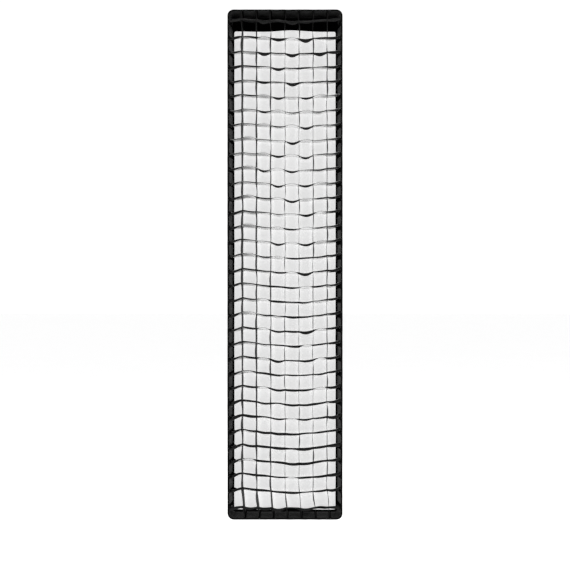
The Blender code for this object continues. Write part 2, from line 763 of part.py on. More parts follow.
def build_lock(carriage, knob_parent):
    """The thumb screw: its stem travels, and its knob turns on the same axis."""
    tip = FLANGE_RADIUS + FIT
    stem_length = KNOB_START + KNOB_SOCKET - tip
    stem = turned_mesh("lock_stem", [(LOCK_RADIUS * 0.7, 0.0), (LOCK_RADIUS, LOCK_RADIUS * 0.3),
                                     (LOCK_RADIUS, stem_length)], False)
    add_object("lock_stem", stem, plated_steel(), carriage, (tip, 0, 0), (1, 0, 0))
    bore = LOCK_RADIUS + LOCK_CLEARANCE
    edge = KNOB_RADIUS - KNOB_NECK
    outline = [(KNOB_RADIUS, KNOB_LENGTH * 0.18 + edge), (KNOB_RADIUS, KNOB_LENGTH - edge),
               (KNOB_RADIUS * 0.86, KNOB_LENGTH)]
    loops = [circle(bore, KNOB_SOCKET + GAP, KNOB_STEPS), circle(bore, 0.0, KNOB_STEPS),
             circle(KNOB_NECK, 0.0, KNOB_STEPS), circle(KNOB_NECK, KNOB_LENGTH * 0.18, KNOB_STEPS)]
    loops += [circle(radius, height, KNOB_STEPS, KNOB_LOBES, KNOB_LOBE) for radius, height in outline]
    knob = loops_mesh("lock_knob", loops, False)
    add_object("lock_knob", knob, hard_plastic(), knob_parent, (KNOB_START, 0, 0), (1, 0, 0))


def square_loop(half, corner, y, steps):
    """Points of a rounded square at equal angles, to pair with a circle's."""
    points = []
    flat = half - corner
    for k in range(steps):
        angle = 2 * math.pi * k / steps
        ray_x, ray_z = math.cos(angle), math.sin(angle)
        reach = half / max(abs(ray_x), abs(ray_z))
        x, z = ray_x * reach, ray_z * reach
        if abs(x) > flat and abs(z) > flat:
            side = flat * (abs(ray_x) + abs(ray_z))
            reach = side + math.sqrt(max(side * side - 2 * flat * flat + corner * corner, 0.0))
            x, z = ray_x * reach, ray_z * reach
        points.append((x, y, z))
    return points


def build_rear_cloth(parent):
    """The flat cloth face round the speedring, and the strap that draws it tight."""
    hole = RING_RADIUS + FIT
    front = REAR_Y + GAP
    back = front + REAR_CLOTH_WALL
    loops = [square_loop(REAR_HALF, REAR_CLOTH_CORNER, y, TURN_STEPS) for y in (front, back)]
    for y in (back, front):
        loops.append([(x, y, z) for x, z, _ in circle(hole, 0.0, TURN_STEPS)])
    add_object("rear_collar", loops_mesh("rear_collar", loops, True), black_cloth(), parent)
    low = back + GAP
    profile = [(hole, low), (hole + STRAP_WALL, low), (hole + STRAP_WALL, low + STRAP_WIDTH),
               (hole, low + STRAP_WIDTH)]
    strap = turned_mesh("collar_strap", profile, True, TURN_STEPS)
    add_object("collar_strap", strap, webbing(), parent, direction=(0, 1, 0))


def box_mesh(name, low, high):
    near = [(low[0], low[1], low[2]), (high[0], low[1], low[2]), (high[0], low[1], high[2]),
            (low[0], low[1], high[2])]
    far = [(x, high[1], z) for x, _, z in near]
    return loops_mesh(name, [near, far], False)


def build_baffle(parent):
    edge = corner_curve(BAFFLE_SHARE)
    half_width = edge.x - BAFFLE_MARGIN
    half_height = edge.z - BAFFLE_MARGIN
    front = edge.y
    back = front + BAFFLE_WALL
    loops = [rounded_rectangle(half_width, half_height, BAFFLE_CORNER, y) for y in (front, back)]
    add_object("inner_baffle", loops_mesh("inner_baffle", loops, False), white_cloth(), parent)

    hem_back = front - GAP
    hem_front = hem_back - BAFFLE_WALL
    inner = BAFFLE_CORNER - BAFFLE_BINDING
    loops = []
    for y in (hem_front, hem_back):
        loops.append(rounded_rectangle(half_width, half_height, BAFFLE_CORNER, y))
    for y in (hem_back, hem_front):
        loops.append(rounded_rectangle(half_width - BAFFLE_BINDING, half_height - BAFFLE_BINDING,
                                       inner, y))
    add_object("baffle_binding", loops_mesh("baffle_binding", loops, True), webbing(), parent)

    tab_front = back + GAP
    tab_back = tab_front + TAB_WALL
    reach = edge.x - PANEL_WALL * 1.1 - GAP
    rows = (half_height - TAB_CORNER_INSET, 0.0, -(half_height - TAB_CORNER_INSET))
    number = 0
    for side in (-1, 1):
        for z in rows:
            number += 1
            ends = sorted((side * (half_width - TAB_OVERLAP), side * (reach - tab_slack())))
            low = (ends[0], tab_front, z - TAB_WIDTH / 2)
            high = (ends[1], tab_back, z + TAB_WIDTH / 2)
            name = f"baffle_tab_{number}"
            add_object(name, box_mesh(name, low, high), webbing(), parent)


def tab_slack():
    """The side panel leans in towards the back, so a tab behind the baffle ends a little short."""
    slope = corner_slope(BAFFLE_SHARE)
    return abs(slope.x / slope.y) * (BAFFLE_WALL + TAB_WALL + GAP)


def empty(name, parent=None, location=(0, 0, 0)):
    obj = bpy.data.objects.new(name, None)
    bpy.context.scene.collection.objects.link(obj)
    obj.parent = parent
    obj.location = location
    return obj


def main():
    clear_scene()
    mount = empty("mount_axis")
    softbox = empty("softbox_axis", mount)
    diffuser = empty("diffuser_slide", softbox)
    grid = empty("grid_slide", diffuser)
    carriage = empty("lock_travel", softbox, (0, LOCK_Y, 0))
    knob = empty("lock_turn", carriage)
    build_insert(mount)
    build_speedring(softbox)
    build_retainer(softbox)
    build_lock(carriage, knob)
    build_rods(softbox)
    build_shell(softbox)
    build_rear_cloth(softbox)
    build_lip(softbox)
    build_baffle(softbox)
    build_diffuser(diffuser)
    build_grid(grid)


main()
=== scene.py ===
"""Looks of a strip softbox: a black cloth shell on spring rods, a speedring, an inner baffle, a
white front diffuser and a deep fabric grid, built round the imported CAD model.

X is across the front, Y runs from the front rim back to the lamp and Z is up, in metres.
"""
import math

import bpy
import numpy as np
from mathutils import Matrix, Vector, noise


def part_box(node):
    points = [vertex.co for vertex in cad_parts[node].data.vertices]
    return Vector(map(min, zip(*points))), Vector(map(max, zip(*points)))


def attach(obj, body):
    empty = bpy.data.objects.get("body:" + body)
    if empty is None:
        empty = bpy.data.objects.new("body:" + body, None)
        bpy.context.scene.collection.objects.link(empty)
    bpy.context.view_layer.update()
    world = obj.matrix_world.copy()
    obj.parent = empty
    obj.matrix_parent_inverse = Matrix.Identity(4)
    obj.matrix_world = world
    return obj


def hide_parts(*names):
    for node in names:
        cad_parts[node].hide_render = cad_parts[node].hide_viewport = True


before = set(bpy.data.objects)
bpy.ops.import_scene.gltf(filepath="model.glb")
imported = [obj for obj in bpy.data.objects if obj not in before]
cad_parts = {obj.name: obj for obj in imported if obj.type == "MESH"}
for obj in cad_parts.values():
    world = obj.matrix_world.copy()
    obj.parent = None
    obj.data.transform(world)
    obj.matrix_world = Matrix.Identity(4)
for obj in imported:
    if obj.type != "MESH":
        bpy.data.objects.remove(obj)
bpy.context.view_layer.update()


random = np.random.default_rng(11)

# Sizes that the frame gives: the rim, the slope of the lip, and where the soft parts stand
RIM_LOW, RIM_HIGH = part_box("rim_binding")
LIP_LOW, LIP_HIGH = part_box("front_lip_left")
SHELL_LOW, SHELL_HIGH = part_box("panel_left")
RIM_Y = RIM_LOW[1]
HALF_WIDTH = RIM_HIGH[0]
HALF_HEIGHT = RIM_HIGH[2]
LIP_SLOPE = (SHELL_LOW[0] - LIP_LOW[0]) / (LIP_HIGH[1] - LIP_LOW[1])
LIP_INSET = HALF_WIDTH + LIP_LOW[0] - LIP_SLOPE * (LIP_LOW[1] - RIM_Y)
LIP_DEPTH = LIP_HIGH[1] - RIM_Y
RIM_CORNER = 0.020
BASE_CORNER = 0.014

# Lip, rim binding and grid band
LIP_WALL = 0.0008
LIP_MIDDLE = 0.00045  # from the lip's outer face to the middle of its cloth
LIP_START = 0.0014  # behind the rim
LIP_TRIM = 0.0016  # what both of the lip's edges leave free
LIP_ROWS = 14
LEAST_CORNER = 0.003
BINDING_WALL = 0.0006
BINDING_PROFILE = [  # inset from the lip's outer face, and depth behind the rim
    (-0.0014, 0.0090), (-0.0020, 0.0060), (-0.0021, 0.0030), (-0.0016, 0.0012),
    (-0.0007, 0.0004), (0.0002, 0.0003), (0.0009, 0.0005), (0.0014, 0.0012),
    (0.0015, 0.0030), (0.0014, 0.0060), (0.0014, 0.0090)]
BAND_WALL = 0.0009
BAND_MIDDLE = 0.0006
BAND_ROWS = 12

# Strip ends, folded on to the band, in near-black cloth that also paints the strips' shade on the
# band. A cross strip's end stands off the band as a gusset
TAB_WALL = 0.0007
TAB_TALL = {"upright": 0.0080, "cross": 0.0165}
TAB_FRONT = 0.001  # behind the rim
TAB_BACK = 0.053
TAB_ROWS = 7
TAB_COLUMNS = 9
TAB_LIFT = 0.0017  # from the band's outer face
TAB_BULGE = 0.0006
TAB_CROWN = 0.0008
TAB_WAIST = 0.25  # share by which a tab narrows halfway back
GUSSET_RIGHT = 0.0040
GUSSET_LEFT = 0.0050
GUSSET_DROOP = 0.0110  # what the left ones gain from the middle down to DROOP_END
DROOP_END = 0.45
GUSSET_FRONT = 0.4  # share of a gusset's height at the front
GUSSET_TAPER = 2.4
GUSSET_CURVE = 1.3

# Grid strips: their places are the CAD lattice's
UPRIGHTS = 7
CROSSES = 34
UPRIGHT_PITCH = 0.050
CROSS_PITCH = 0.0517
STRIP_WALL = 0.0009
GRID_LOW, GRID_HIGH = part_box("grid_lattice")
BAND_LOW, BAND_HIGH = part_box("grid_band")
GRID_DEPTH = GRID_HIGH[1] - GRID_LOW[1]
STRIP_CLEARANCE = 0.0004
CROSS_STEPS = 10  # columns of a cross strip in each cell
CROSS_DEPTHS = [0, 0.02, 0.05, 0.09, 0.14, 0.18, 0.22, 0.3, 0.42, 0.56, 0.7, 0.84, 1.0]
UPRIGHT_STEPS = 6
UPRIGHT_DEPTHS = [0, 0.05, 0.12, 0.22, 0.4, 0.6, 0.8, 1.0]

# How the cross strips hang
DIP_PLACE = 0.22  # where across the width they hang lowest, from -1 to 1
RIGHT_RISE = 2.3
LEFT_RISE = 1.35
WALL_DIP = 1.3  # they dip again close to the left wall
WALL_DIP_PLACE = -0.97
WALL_DIP_WIDTH = 0.13
SAG_CHANCE = 0.85  # at the top, of a stretch that can sag
SIDE_SAG_CHANCE = 0.35
ARCH_CHANCE = 0.80  # near the top, of a stretch that can arch
LEAST_ARCH_CHANCE = 0.05
TAUT_ARCH_CHANCE = 0.40  # in the first rows
TAUT_HEIGHT = 0.85
SWING = 0.0065  # how much they hang at the top
SWING_GAIN = 0.0085  # and how much more lower down
BACK_FADE = 0.35  # share of a sag or an arch that is lost at the back edge
LEAN = 0.0062  # how far the back edge hangs below the front edge at z = 0
LEAN_GAIN = 0.0130  # and how much less that is for each metre up
CURL_DEPTH = 0.22  # share of the depth that curls at the front
CURL_POWER = 1.3
CURL = 0.0042
CURL_GAIN = 0.0040  # more curl, from top to bottom
WALL_CURL = 1.5  # times as much curl at the side walls
SAG_CURL = 0.0042  # more curl where a stretch sags
SAG = 0.0058
ARCH = 0.0034
TWIST = 0.0026
TAUT_ROWS = 6  # the first rows hang straighter and curl more
TAUT_CURL = 0.7
TAUT_SAG_CURL = 0.0048
TAUT_ARC = 0.75
FIRST_LIFT = 0.011
LAST_LIFT = -0.003
LAST_SWING = 0.35
LAST_LEAN = 0.005

# How the upright strips hang
BOTTOM_DRIFT = 0.0095  # how far they lean to the right below the last full cell
LEFT_PULL = 0.0034  # how far the outermost left one is pulled out at the front
EVEN_PULL = 0.0004
KNOT_SWAY = 0.0015
CELL_WAVE = 0.0013  # to the left and right in turn
CELL_PUFF = 0.0016
BACK_WAVE = 0.0006

# Shell: the corner line bows from the speedring out to the lip
REAR_DIRECTION = Vector((0.13, -0.23, 0.96)).normalized()
FRONT_DIRECTION = Vector((0.10, -0.62, 0.78)).normalized()
BOW_REACH = 0.32
PANEL_WALL = 0.0010
BELLY_SIDE = 0.0045  # how far a side panel is drawn in at its middle
BELLY_END = 0.0035
CREASE = 0.0036
FINE_CREASE = 0.0010
SKIN_WALL = 0.0009
PANEL_ROWS = 64
PANEL_MARGIN = 0.0004  # share of the way from ring to lip that is left free at each end
REAR_CALM = 0.06  # share of the way that stays free of creases by the ring
FRONT_CALM = 0.05
PIPING_WALL = 0.0004
PIPING_MIDDLE = -0.0002  # inset from the lip's outer face
PIPING_HALF_DEPTH = 0.0016
PIPING_HALF_WIDTH = 0.0012
PIPING_ROWS = 11
REAR_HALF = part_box("rear_collar")[1][0]
REAR_Y = SHELL_HIGH[1]

# Front diffuser's hem: deep at the top, where the near-black hem also paints the shade that falls
# in the top of the recess
HEM_SIDE = 0.005
HEM_BOTTOM = 0.003
HEM_AND_SHADE_MEAN = 0.023  # of the top and the bottom
HEM_RISE = 0.0045  # how far the top's lower edge is drawn up, and where, and how widely
HEM_RISE_X = 0.012
HEM_RISE_WIDTH = 0.055
HEM_INNER_CORNER = 0.0065
SHEET_WALL = 0.0008
SHEET_CREASE = 0.0006
FRAME_ROWS = 6
BAFFLE_CORNER = 0.020
BAFFLE_EDGE = 0.010
ELASTIC_WALL = 0.0010
ELASTIC_WAIST = 0.18  # share by which an elastic narrows halfway
ELASTIC_ROWS = 7
ELASTIC_COLUMNS = 15

# Collar: square where it meets the panels, then pleated round the speedring under a strap
COLLAR_WALL = 0.0006
COLLAR_OVERLAP = 0.0014  # past the panels' rear edges
COLLAR_UNDER_STRAP = 0.0010
COLLAR_LIP = 0.0012  # past the strap's rear edge
COLLAR_STAND = 0.0007
COLLAR_ROWS = 12
NECK_SHARE = 0.6  # share of the width that lies flat before the neck rises
NECK_PLEAT = 0.0003
FLAT_PLEAT = 0.0006
SQUARENESS = 40
PLEATS = 56
RING_STEPS = 240
STRAP_WALL = 0.0010
STRAP_CROWN = 0.0006
STRAP_ROWS = 5

CAMERA_DISTANCE = 3.2  # before the rim
CAMERA_HEIGHT = -0.072
CAMERA_LENS = 57.26
FLOOR_DROP = 0.25  # below the softbox
FLOOR_HALF = 30.0
SKY_STRENGTH = 1.05

# Stitching
THREAD_HALF = 0.00045
STITCH_STEP = 0.0021
STITCH_RUN = 0.00145
SEAM_GROOVE = 0.0022


# --- materials -----------------------------------------------------------------------------

class Graph:
    """A material's node graph, with a Principled shader at its end."""

    def __init__(self, name, **sockets):
        self.material = bpy.data.materials.new(name)
        self.material.use_nodes = True
        self.nodes = self.material.node_tree.nodes
        self.links = self.material.node_tree.links
        self.shader = self.nodes["Principled BSDF"]
        for key, value in sockets.items():
            self.put(self.shader.inputs[key.replace("_", " ")], value)

    def put(self, socket, value):
        if isinstance(value, bpy.types.NodeSocket):
            self.links.new(value, socket)
        else:
            socket.default_value = value

    def add(self, kind, output, inputs=(), **settings):
        node = self.nodes.new("ShaderNode" + kind)
        for key, value in settings.items():
            setattr(node, key, value)
        for key, value in dict(inputs).items():
            self.put(node.inputs[key], value)
        return node.outputs[output]

    def math(self, operation, *values):
        return self.add("Math", 0, dict(enumerate(values)), operation=operation)

    def ramp(self, value, low, high, start=0.0, end=1.0):
        return self.add("MapRange", 0, {"Value": value, "From Min": low, "From Max": high,
                                        "To Min": start, "To Max": end})

    def mix(self, share, first, second):
        node = self.nodes.new("ShaderNodeMix")
        node.data_type = "RGBA"
        for index, value in ((0, share), (6, first), (7, second)):
            self.put(node.inputs[index], value)
        return node.outputs[2]

    def noise(self, vector, scale, detail=3.0, rough=0.55):
        return self.add("TexNoise", "Fac", {"Vector": vector, "Scale": scale, "Detail": detail,
                                            "Roughness": rough})

    def bump(self, height, distance, strength=1.0):
        normal = self.add("Bump", "Normal", {"Height": height, "Distance": distance,
                                             "Strength": strength})
        self.links.new(normal, self.shader.inputs["Normal"])


def grey(level, tint=(1.0, 1.0, 1.0)):
    return tuple(level * t for t in tint) + (1.0,)


def wave(graph, axis, pitch):
    return graph.math("SINE", graph.math("MULTIPLY", axis, 2 * math.pi / pitch))


def fabric(name, dark, light, pitch, relief, ripstop=None, stitches=(), thread=0.05, uv=True,
           worn=0.35, **sockets):
    """Woven cloth, with a row of stitching at each of some distances across it, in metres.

    Dark and light are the colours between threads and on them. Without uv, the weave follows
    the object's own axes, for pieces that have no unwrapped cloth.
    """
    graph = Graph(name, **sockets)
    if uv:
        place = graph.add("UVMap", "UV", uv_map="UVMap")
    else:
        place = graph.add("TexCoord", "Object")
    split = graph.nodes.new("ShaderNodeSeparateXYZ")
    graph.links.new(place, split.inputs[0])
    along, across = split.outputs[0], split.outputs[1 if uv else 2]
    threads = graph.math("MULTIPLY", wave(graph, along, pitch), wave(graph, across, pitch))
    height = graph.math("MULTIPLY", threads, 0.5)
    solid = graph.add("TexCoord", "Object")
    patches = graph.noise(solid, 9.0)
    fuzz = graph.noise(solid, 900.0, 2.0)
    share = graph.math("ADD", graph.ramp(threads, -1, 1, 0.0, 0.45),
                       graph.ramp(patches, 0.35, 0.7, 0.0, worn))
    if ripstop:
        lines = []
        for axis in (along, across):
            step = graph.math("PINGPONG", axis, ripstop / 2)
            lines.append(graph.math("LESS_THAN", step, pitch * 0.55))
        rib = graph.math("MAXIMUM", *lines)
        height = graph.math("ADD", height, graph.math("MULTIPLY", rib, 1.3))
        share = graph.math("ADD", share, graph.math("MULTIPLY", rib, 0.4))
    colour = graph.mix(share, grey(dark), grey(light))
    for offset in stitches:
        away = graph.math("ABSOLUTE", graph.math("SUBTRACT", across, offset))
        near = graph.math("LESS_THAN", away, THREAD_HALF)
        dash = graph.math("LESS_THAN", graph.math("PINGPONG", along, STITCH_STEP), STITCH_RUN)
        stitch = graph.math("MULTIPLY", near, dash)
        groove = graph.ramp(away, 0.0, SEAM_GROOVE, -3.0, 0.0)
        relieved = graph.math("ADD", groove, graph.math("MULTIPLY", stitch, 4.0))
        height = graph.math("ADD", height, relieved)
        colour = graph.mix(stitch, colour, grey(thread))
    height = graph.math("ADD", height, graph.math("MULTIPLY", fuzz, 0.5))
    graph.links.new(colour, graph.shader.inputs["Base Color"])
    graph.bump(height, relief)
    return graph


def metal(name, dark, light, roughness, grain, metallic=1.0, spots=60.0):
    graph = Graph(name, Metallic=metallic)
    place = graph.add("TexCoord", "Object")
    coarse = graph.noise(place, spots, 5.0)
    fine = graph.noise(place, grain, 3.0)
    wear = graph.math("MULTIPLY", graph.noise(place, spots * 5, 2.0), coarse)
    graph.links.new(graph.mix(graph.ramp(coarse, 0.35, 0.7), dark, light),
                    graph.shader.inputs["Base Color"])
    graph.links.new(graph.ramp(wear, 0.1, 0.5, roughness - 0.08, roughness + 0.12),
                    graph.shader.inputs["Roughness"])
    graph.bump(fine, 0.0002, 0.35)
    return graph.material


CLOTH = dict(Roughness=0.72, Specular_IOR_Level=0.20, Sheen_Weight=0.25, Sheen_Roughness=0.45)
MATTE = dict(Roughness=0.95, IOR=1.03)

shell_cloth = fabric("shell_cloth", 0.003, 0.011, 0.0008, 0.00012, ripstop=0.005,
                     stitches=(0.006, 0.009), Roughness=0.5, Specular_IOR_Level=0.2,
                     Sheen_Weight=0.06, Sheen_Roughness=0.4).material
lining = fabric("silver_lining", 0.42, 0.62, 0.0012, 0.0002, worn=0.2, stitches=(0.008,),
                thread=0.5, Roughness=0.38, Metallic=0.75).material
lip_cloth = fabric("lip_cloth", 0.004, 0.013, 0.0008, 0.00015, stitches=(0.003, 0.070),
                   **CLOTH).material
band_cloth = fabric("band_cloth", 0.002, 0.008, 0.0010, 0.0002, stitches=(0.003, 0.006, 0.051),
                    thread=0.02, Roughness=0.55, IOR=1.19, Sheen_Weight=0.07,
                    Sheen_Roughness=0.4).material
binding_tape = fabric("binding_tape", 0.002, 0.006, 0.0014, 0.00025, stitches=(0.0075, 0.0135),
                      thread=0.02, **MATTE).material
# near-black hem cloth: partly its own black, partly painted shade where it lies deep in the
# recess
hem_cloth_and_shade = fabric("hem_cloth_and_shade", 0.0010, 0.0028, 0.0010, 0.0001, **MATTE).material
webbing = fabric("black_webbing", 0.004, 0.016, 0.0016, 0.0003, stitches=(0.002, 0.013),
                 thread=0.04, **CLOTH).material
tape_pile = fabric("tape_pile", 0.003, 0.014, 0.0011, 0.0005, uv=False, **MATTE).material
cad_webbing = fabric("sewn_webbing", 0.004, 0.018, 0.0018, 0.0004, uv=False, **CLOTH).material


GLOSS_ANGLES = (0.66, 0.84)  # 1 is edge-on: where the gloss starts and where it is full
BRIGHT_GLOSS = 0.98


def grid_cloth():
    """Thin calendered nylon: black face on, and as glossy as a mirror at a grazing angle."""
    graph = fabric("grid_cloth", 0.004, 0.012, 0.0007, 0.0, stitches=(0.004,), thread=0.02,
                   Roughness=0.6, IOR=1.2)
    facing = graph.add("LayerWeight", "Facing", {"Blend": 0.5})
    gloss = graph.ramp(facing, *GLOSS_ANGLES)
    base = graph.shader.inputs["Base Color"].links[0].from_socket
    graph.links.new(graph.mix(gloss, base, grey(BRIGHT_GLOSS)), graph.shader.inputs["Base Color"])
    graph.links.new(gloss, graph.shader.inputs["Metallic"])
    graph.links.new(graph.ramp(gloss, 0, 1, 0.6, 0.20), graph.shader.inputs["Roughness"])
    return graph.material


def white_cloth(name, painted_glow, level):
    """Soft white diffusion cloth with a painted glow: its emission paints light on it, as no lamp
    stands behind it.
    """
    graph = fabric(name, level, level + 0.02, 0.0009, 0.00012, worn=0.2, stitches=(0.004,),
                   thread=level, Roughness=0.85, Specular_IOR_Level=0.15, Sheen_Weight=0.1,
                   Emission_Color=grey(1.0), Emission_Strength=painted_glow)
    return graph.material


cross_cloth = grid_cloth()
upright_cloth = fabric("upright_cloth", 0.004, 0.014, 0.0007, 0.00006, stitches=(0.004,),
                       thread=0.02, Roughness=0.6, IOR=1.2).material
# painted glow: the emission paints light that keeps the diffuser evenly bright in the grid's
# shade
diffuser_cloth = white_cloth("diffuser_cloth", 0.65, 0.75)
# a weaker painted glow on the baffle
baffle_cloth = white_cloth("baffle_cloth", 0.05, 0.76)
steel = metal("spring_steel", grey(0.16, (1, 0.98, 0.95)), grey(0.30), 0.38, 1800.0)
zinc = metal("zinc_steel", grey(0.50, (1, 0.99, 0.95)), grey(0.72), 0.32, 1500.0)
cast_alloy = metal("cast_alloy", grey(0.035), grey(0.060), 0.55, 700.0, metallic=0.35)
bright_alloy = metal("bright_alloy", grey(0.20), grey(0.33), 0.36, 900.0)
plastic = metal("hard_plastic", grey(0.012), grey(0.022), 0.48, 1100.0, metallic=0.0)


# --- mesh helpers --------------------------------------------------------------------------

def unit(vectors):
    length = np.linalg.norm(vectors, axis=-1, keepdims=True)
    return vectors / np.maximum(length, 1e-12)


def slopes(points, axis, wrap):
    if wrap:
        return np.roll(points, -1, axis) - np.roll(points, 1, axis)
    return np.gradient(points, axis=axis)


def sheet_mesh(name, points, wall, materials, body, ring=False):
    """A closed skin, wall thick, round a grid of points. A ring's columns meet end to end."""
    points = np.asarray(points, dtype=float)
    rows, columns = points.shape[:2]
    normals = unit(np.cross(slopes(points, 0, False), slopes(points, 1, ring)))
    half = np.broadcast_to(np.asarray(wall) / 2, (rows, columns))[..., None]
    skin = np.concatenate([(points + normals * half).reshape(-1, 3),
                           (points - normals * half).reshape(-1, 3)])
    steps = columns if ring else columns - 1
    seam = points[:, :1] if ring else points[:, :0]
    closed = np.concatenate([points, seam], axis=1)
    along = np.zeros(closed.shape[:2])
    along[:, 1:] = np.cumsum(np.linalg.norm(np.diff(closed, axis=1), axis=2), axis=1)
    along = np.broadcast_to(along[rows // 2], along.shape)
    across = np.zeros(closed.shape[:2])
    across[1:] = np.cumsum(np.linalg.norm(np.diff(closed, axis=0), axis=2), axis=0)
    back = rows * columns
    faces, places, sides = [], [], []

    def face(cells, offsets, side):
        faces.append([r * columns + c % columns + o for (r, c), o in zip(cells, offsets)])
        places.extend((along[r, c], across[r, c]) for r, c in cells)
        sides.append(side)

    for r in range(rows - 1):
        for c in range(steps):
            cell = [(r, c), (r + 1, c), (r + 1, c + 1), (r, c + 1)]
            face(cell, [0] * 4, 0)
            face(cell[::-1], [back] * 4, 1)
    for r, turned in ((0, False), (rows - 1, True)):
        for c in range(steps):
            cell, offsets = [(r, c), (r, c + 1), (r, c + 1), (r, c)], [0, 0, back, back]
            face(cell[::-1] if turned else cell, offsets[::-1] if turned else offsets, 0)
    if not ring:
        for c, turned in ((0, True), (columns - 1, False)):
            for r in range(rows - 1):
                cell, offsets = [(r, c), (r + 1, c), (r + 1, c), (r, c)], [0, 0, back, back]
                face(cell[::-1] if turned else cell, offsets[::-1] if turned else offsets, 0)
    mesh = bpy.data.meshes.new(name)
    mesh.from_pydata(skin.tolist(), [], faces)
    mesh.uv_layers.new(name="UVMap").data.foreach_set("uv", np.asarray(places).ravel())
    for material in materials:
        mesh.materials.append(material)
    if len(materials) > 1:
        mesh.polygons.foreach_set("material_index", sides)
    mesh.polygons.foreach_set("use_smooth", [True] * len(faces))
    mesh.update()
    piece = bpy.data.objects.new(name, mesh)
    bpy.context.scene.collection.objects.link(piece)
    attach(piece, body)
    return piece


def places(count, pitch):
    """Where evenly spaced strips lie, about the middle."""
    return [(k - (count - 1) / 2) * pitch for k in range(count)]


def outline(half_x, half_z, corner, y, per_side=(46, 190), per_corner=8):
    """Points round a rounded rectangle in the XZ plane, anticlockwise from the front."""
    points = []
    for turn, (side_x, side_z) in enumerate(((1, 1), (-1, 1), (-1, -1), (1, -1))):
        centre = (side_x * (half_x - corner), side_z * (half_z - corner))
        for step in range(per_corner):
            bearing = math.pi / 2 * (turn + step / per_corner)
            points.append((centre[0] + corner * math.cos(bearing), y,
                           centre[1] + corner * math.sin(bearing)))
        length = 2 * ((half_x, half_z)[turn % 2] - corner)
        count = per_side[turn % 2]
        bearing = math.pi / 2 * (turn + 1)
        begin = (centre[0] + corner * math.cos(bearing), centre[1] + corner * math.sin(bearing))
        way = ((-1, 0), (0, -1), (1, 0), (0, 1))[turn]
        for step in range(count):
            reach = length * step / count
            points.append((begin[0] + way[0] * reach, y, begin[1] + way[1] * reach))
    return np.array(points)


def lip_outline(depth, inset):
    """The lip's outline at a depth behind the rim, moved in from its outer face."""
    narrow = LIP_INSET + LIP_SLOPE * depth + inset
    corner = RIM_CORNER + (BASE_CORNER - RIM_CORNER) * depth / LIP_DEPTH - inset
    return outline(HALF_WIDTH - narrow, HALF_HEIGHT - narrow, max(corner, LEAST_CORNER),
                   RIM_Y + depth)


def ripple(points, size, period, seed):
    """Moves points towards or away from the middle by soft waves that depend on their place."""
    moved = points.copy()
    for index in np.ndindex(points.shape[:2]):
        x, y, z = points[index]
        wave_height = noise.noise(Vector((x / period + seed, y / period * 0.6, z / period)))
        flat = Vector((x, 0, z * HALF_WIDTH / HALF_HEIGHT)).normalized()
        moved[index] += np.array(flat) * size * wave_height
    return moved


# --- lip, rim binding, grid band -----------------------------------------------------------

def build_lip():
    end = LIP_DEPTH - (LIP_TRIM - LIP_START)
    rows = [lip_outline(depth, LIP_MIDDLE) for depth in np.linspace(LIP_START, end, LIP_ROWS)]
    points = ripple(np.array(rows), size=0.0008, period=0.045, seed=3.0)
    lip = sheet_mesh("lip", points, LIP_WALL, [lip_cloth], "softbox", ring=True)
    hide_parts("front_lip_top", "front_lip_left", "front_lip_bottom", "front_lip_right")


def build_binding():
    """A tape folded over the lip's front edge and stitched through."""
    rows = [lip_outline(depth, inset) for inset, depth in BINDING_PROFILE]
    points = ripple(np.array(rows), size=0.0005, period=0.022, seed=9.0)
    binding = sheet_mesh("rim_binding_tape", points, BINDING_WALL, [binding_tape], "softbox",
                         ring=True)
    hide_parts("rim_binding")


def build_band():
    """The sewn band round the grid, and the folded ends of the strips on it."""
    inset = BAND_LOW[0] + HALF_WIDTH - LIP_INSET - LIP_SLOPE * (BAND_LOW[1] - RIM_Y)
    depths = np.linspace(BAND_LOW[1] - RIM_Y, BAND_HIGH[1] - RIM_Y, BAND_ROWS)
    rows = [lip_outline(depth, inset + BAND_MIDDLE) for depth in depths]
    points = ripple(np.array(rows), size=0.0007, period=0.05, seed=17.0)
    band = sheet_mesh("band", points, BAND_WALL, [band_cloth], "grid", ring=True)
    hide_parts("grid_band")
    for kind, levels in (("cross", places(CROSSES, CROSS_PITCH)),
                         ("upright", places(UPRIGHTS, UPRIGHT_PITCH))):
        for k, place in enumerate(levels):
            for side in (-1, 1):
                end_tab(f"tab_{kind}_{k + 1}", place, side, kind, inset + TAB_LIFT)


def gusset_height(place, side):
    """How far a cross strip's end stands off the band; the left ones droop below the middle."""
    if side > 0:
        return GUSSET_RIGHT
    last = place <= places(CROSSES, CROSS_PITCH)[0]
    droop = 0.0 if last else min(1.0, max(0.0, -place / DROOP_END))
    return GUSSET_LEFT + GUSSET_DROOP * droop


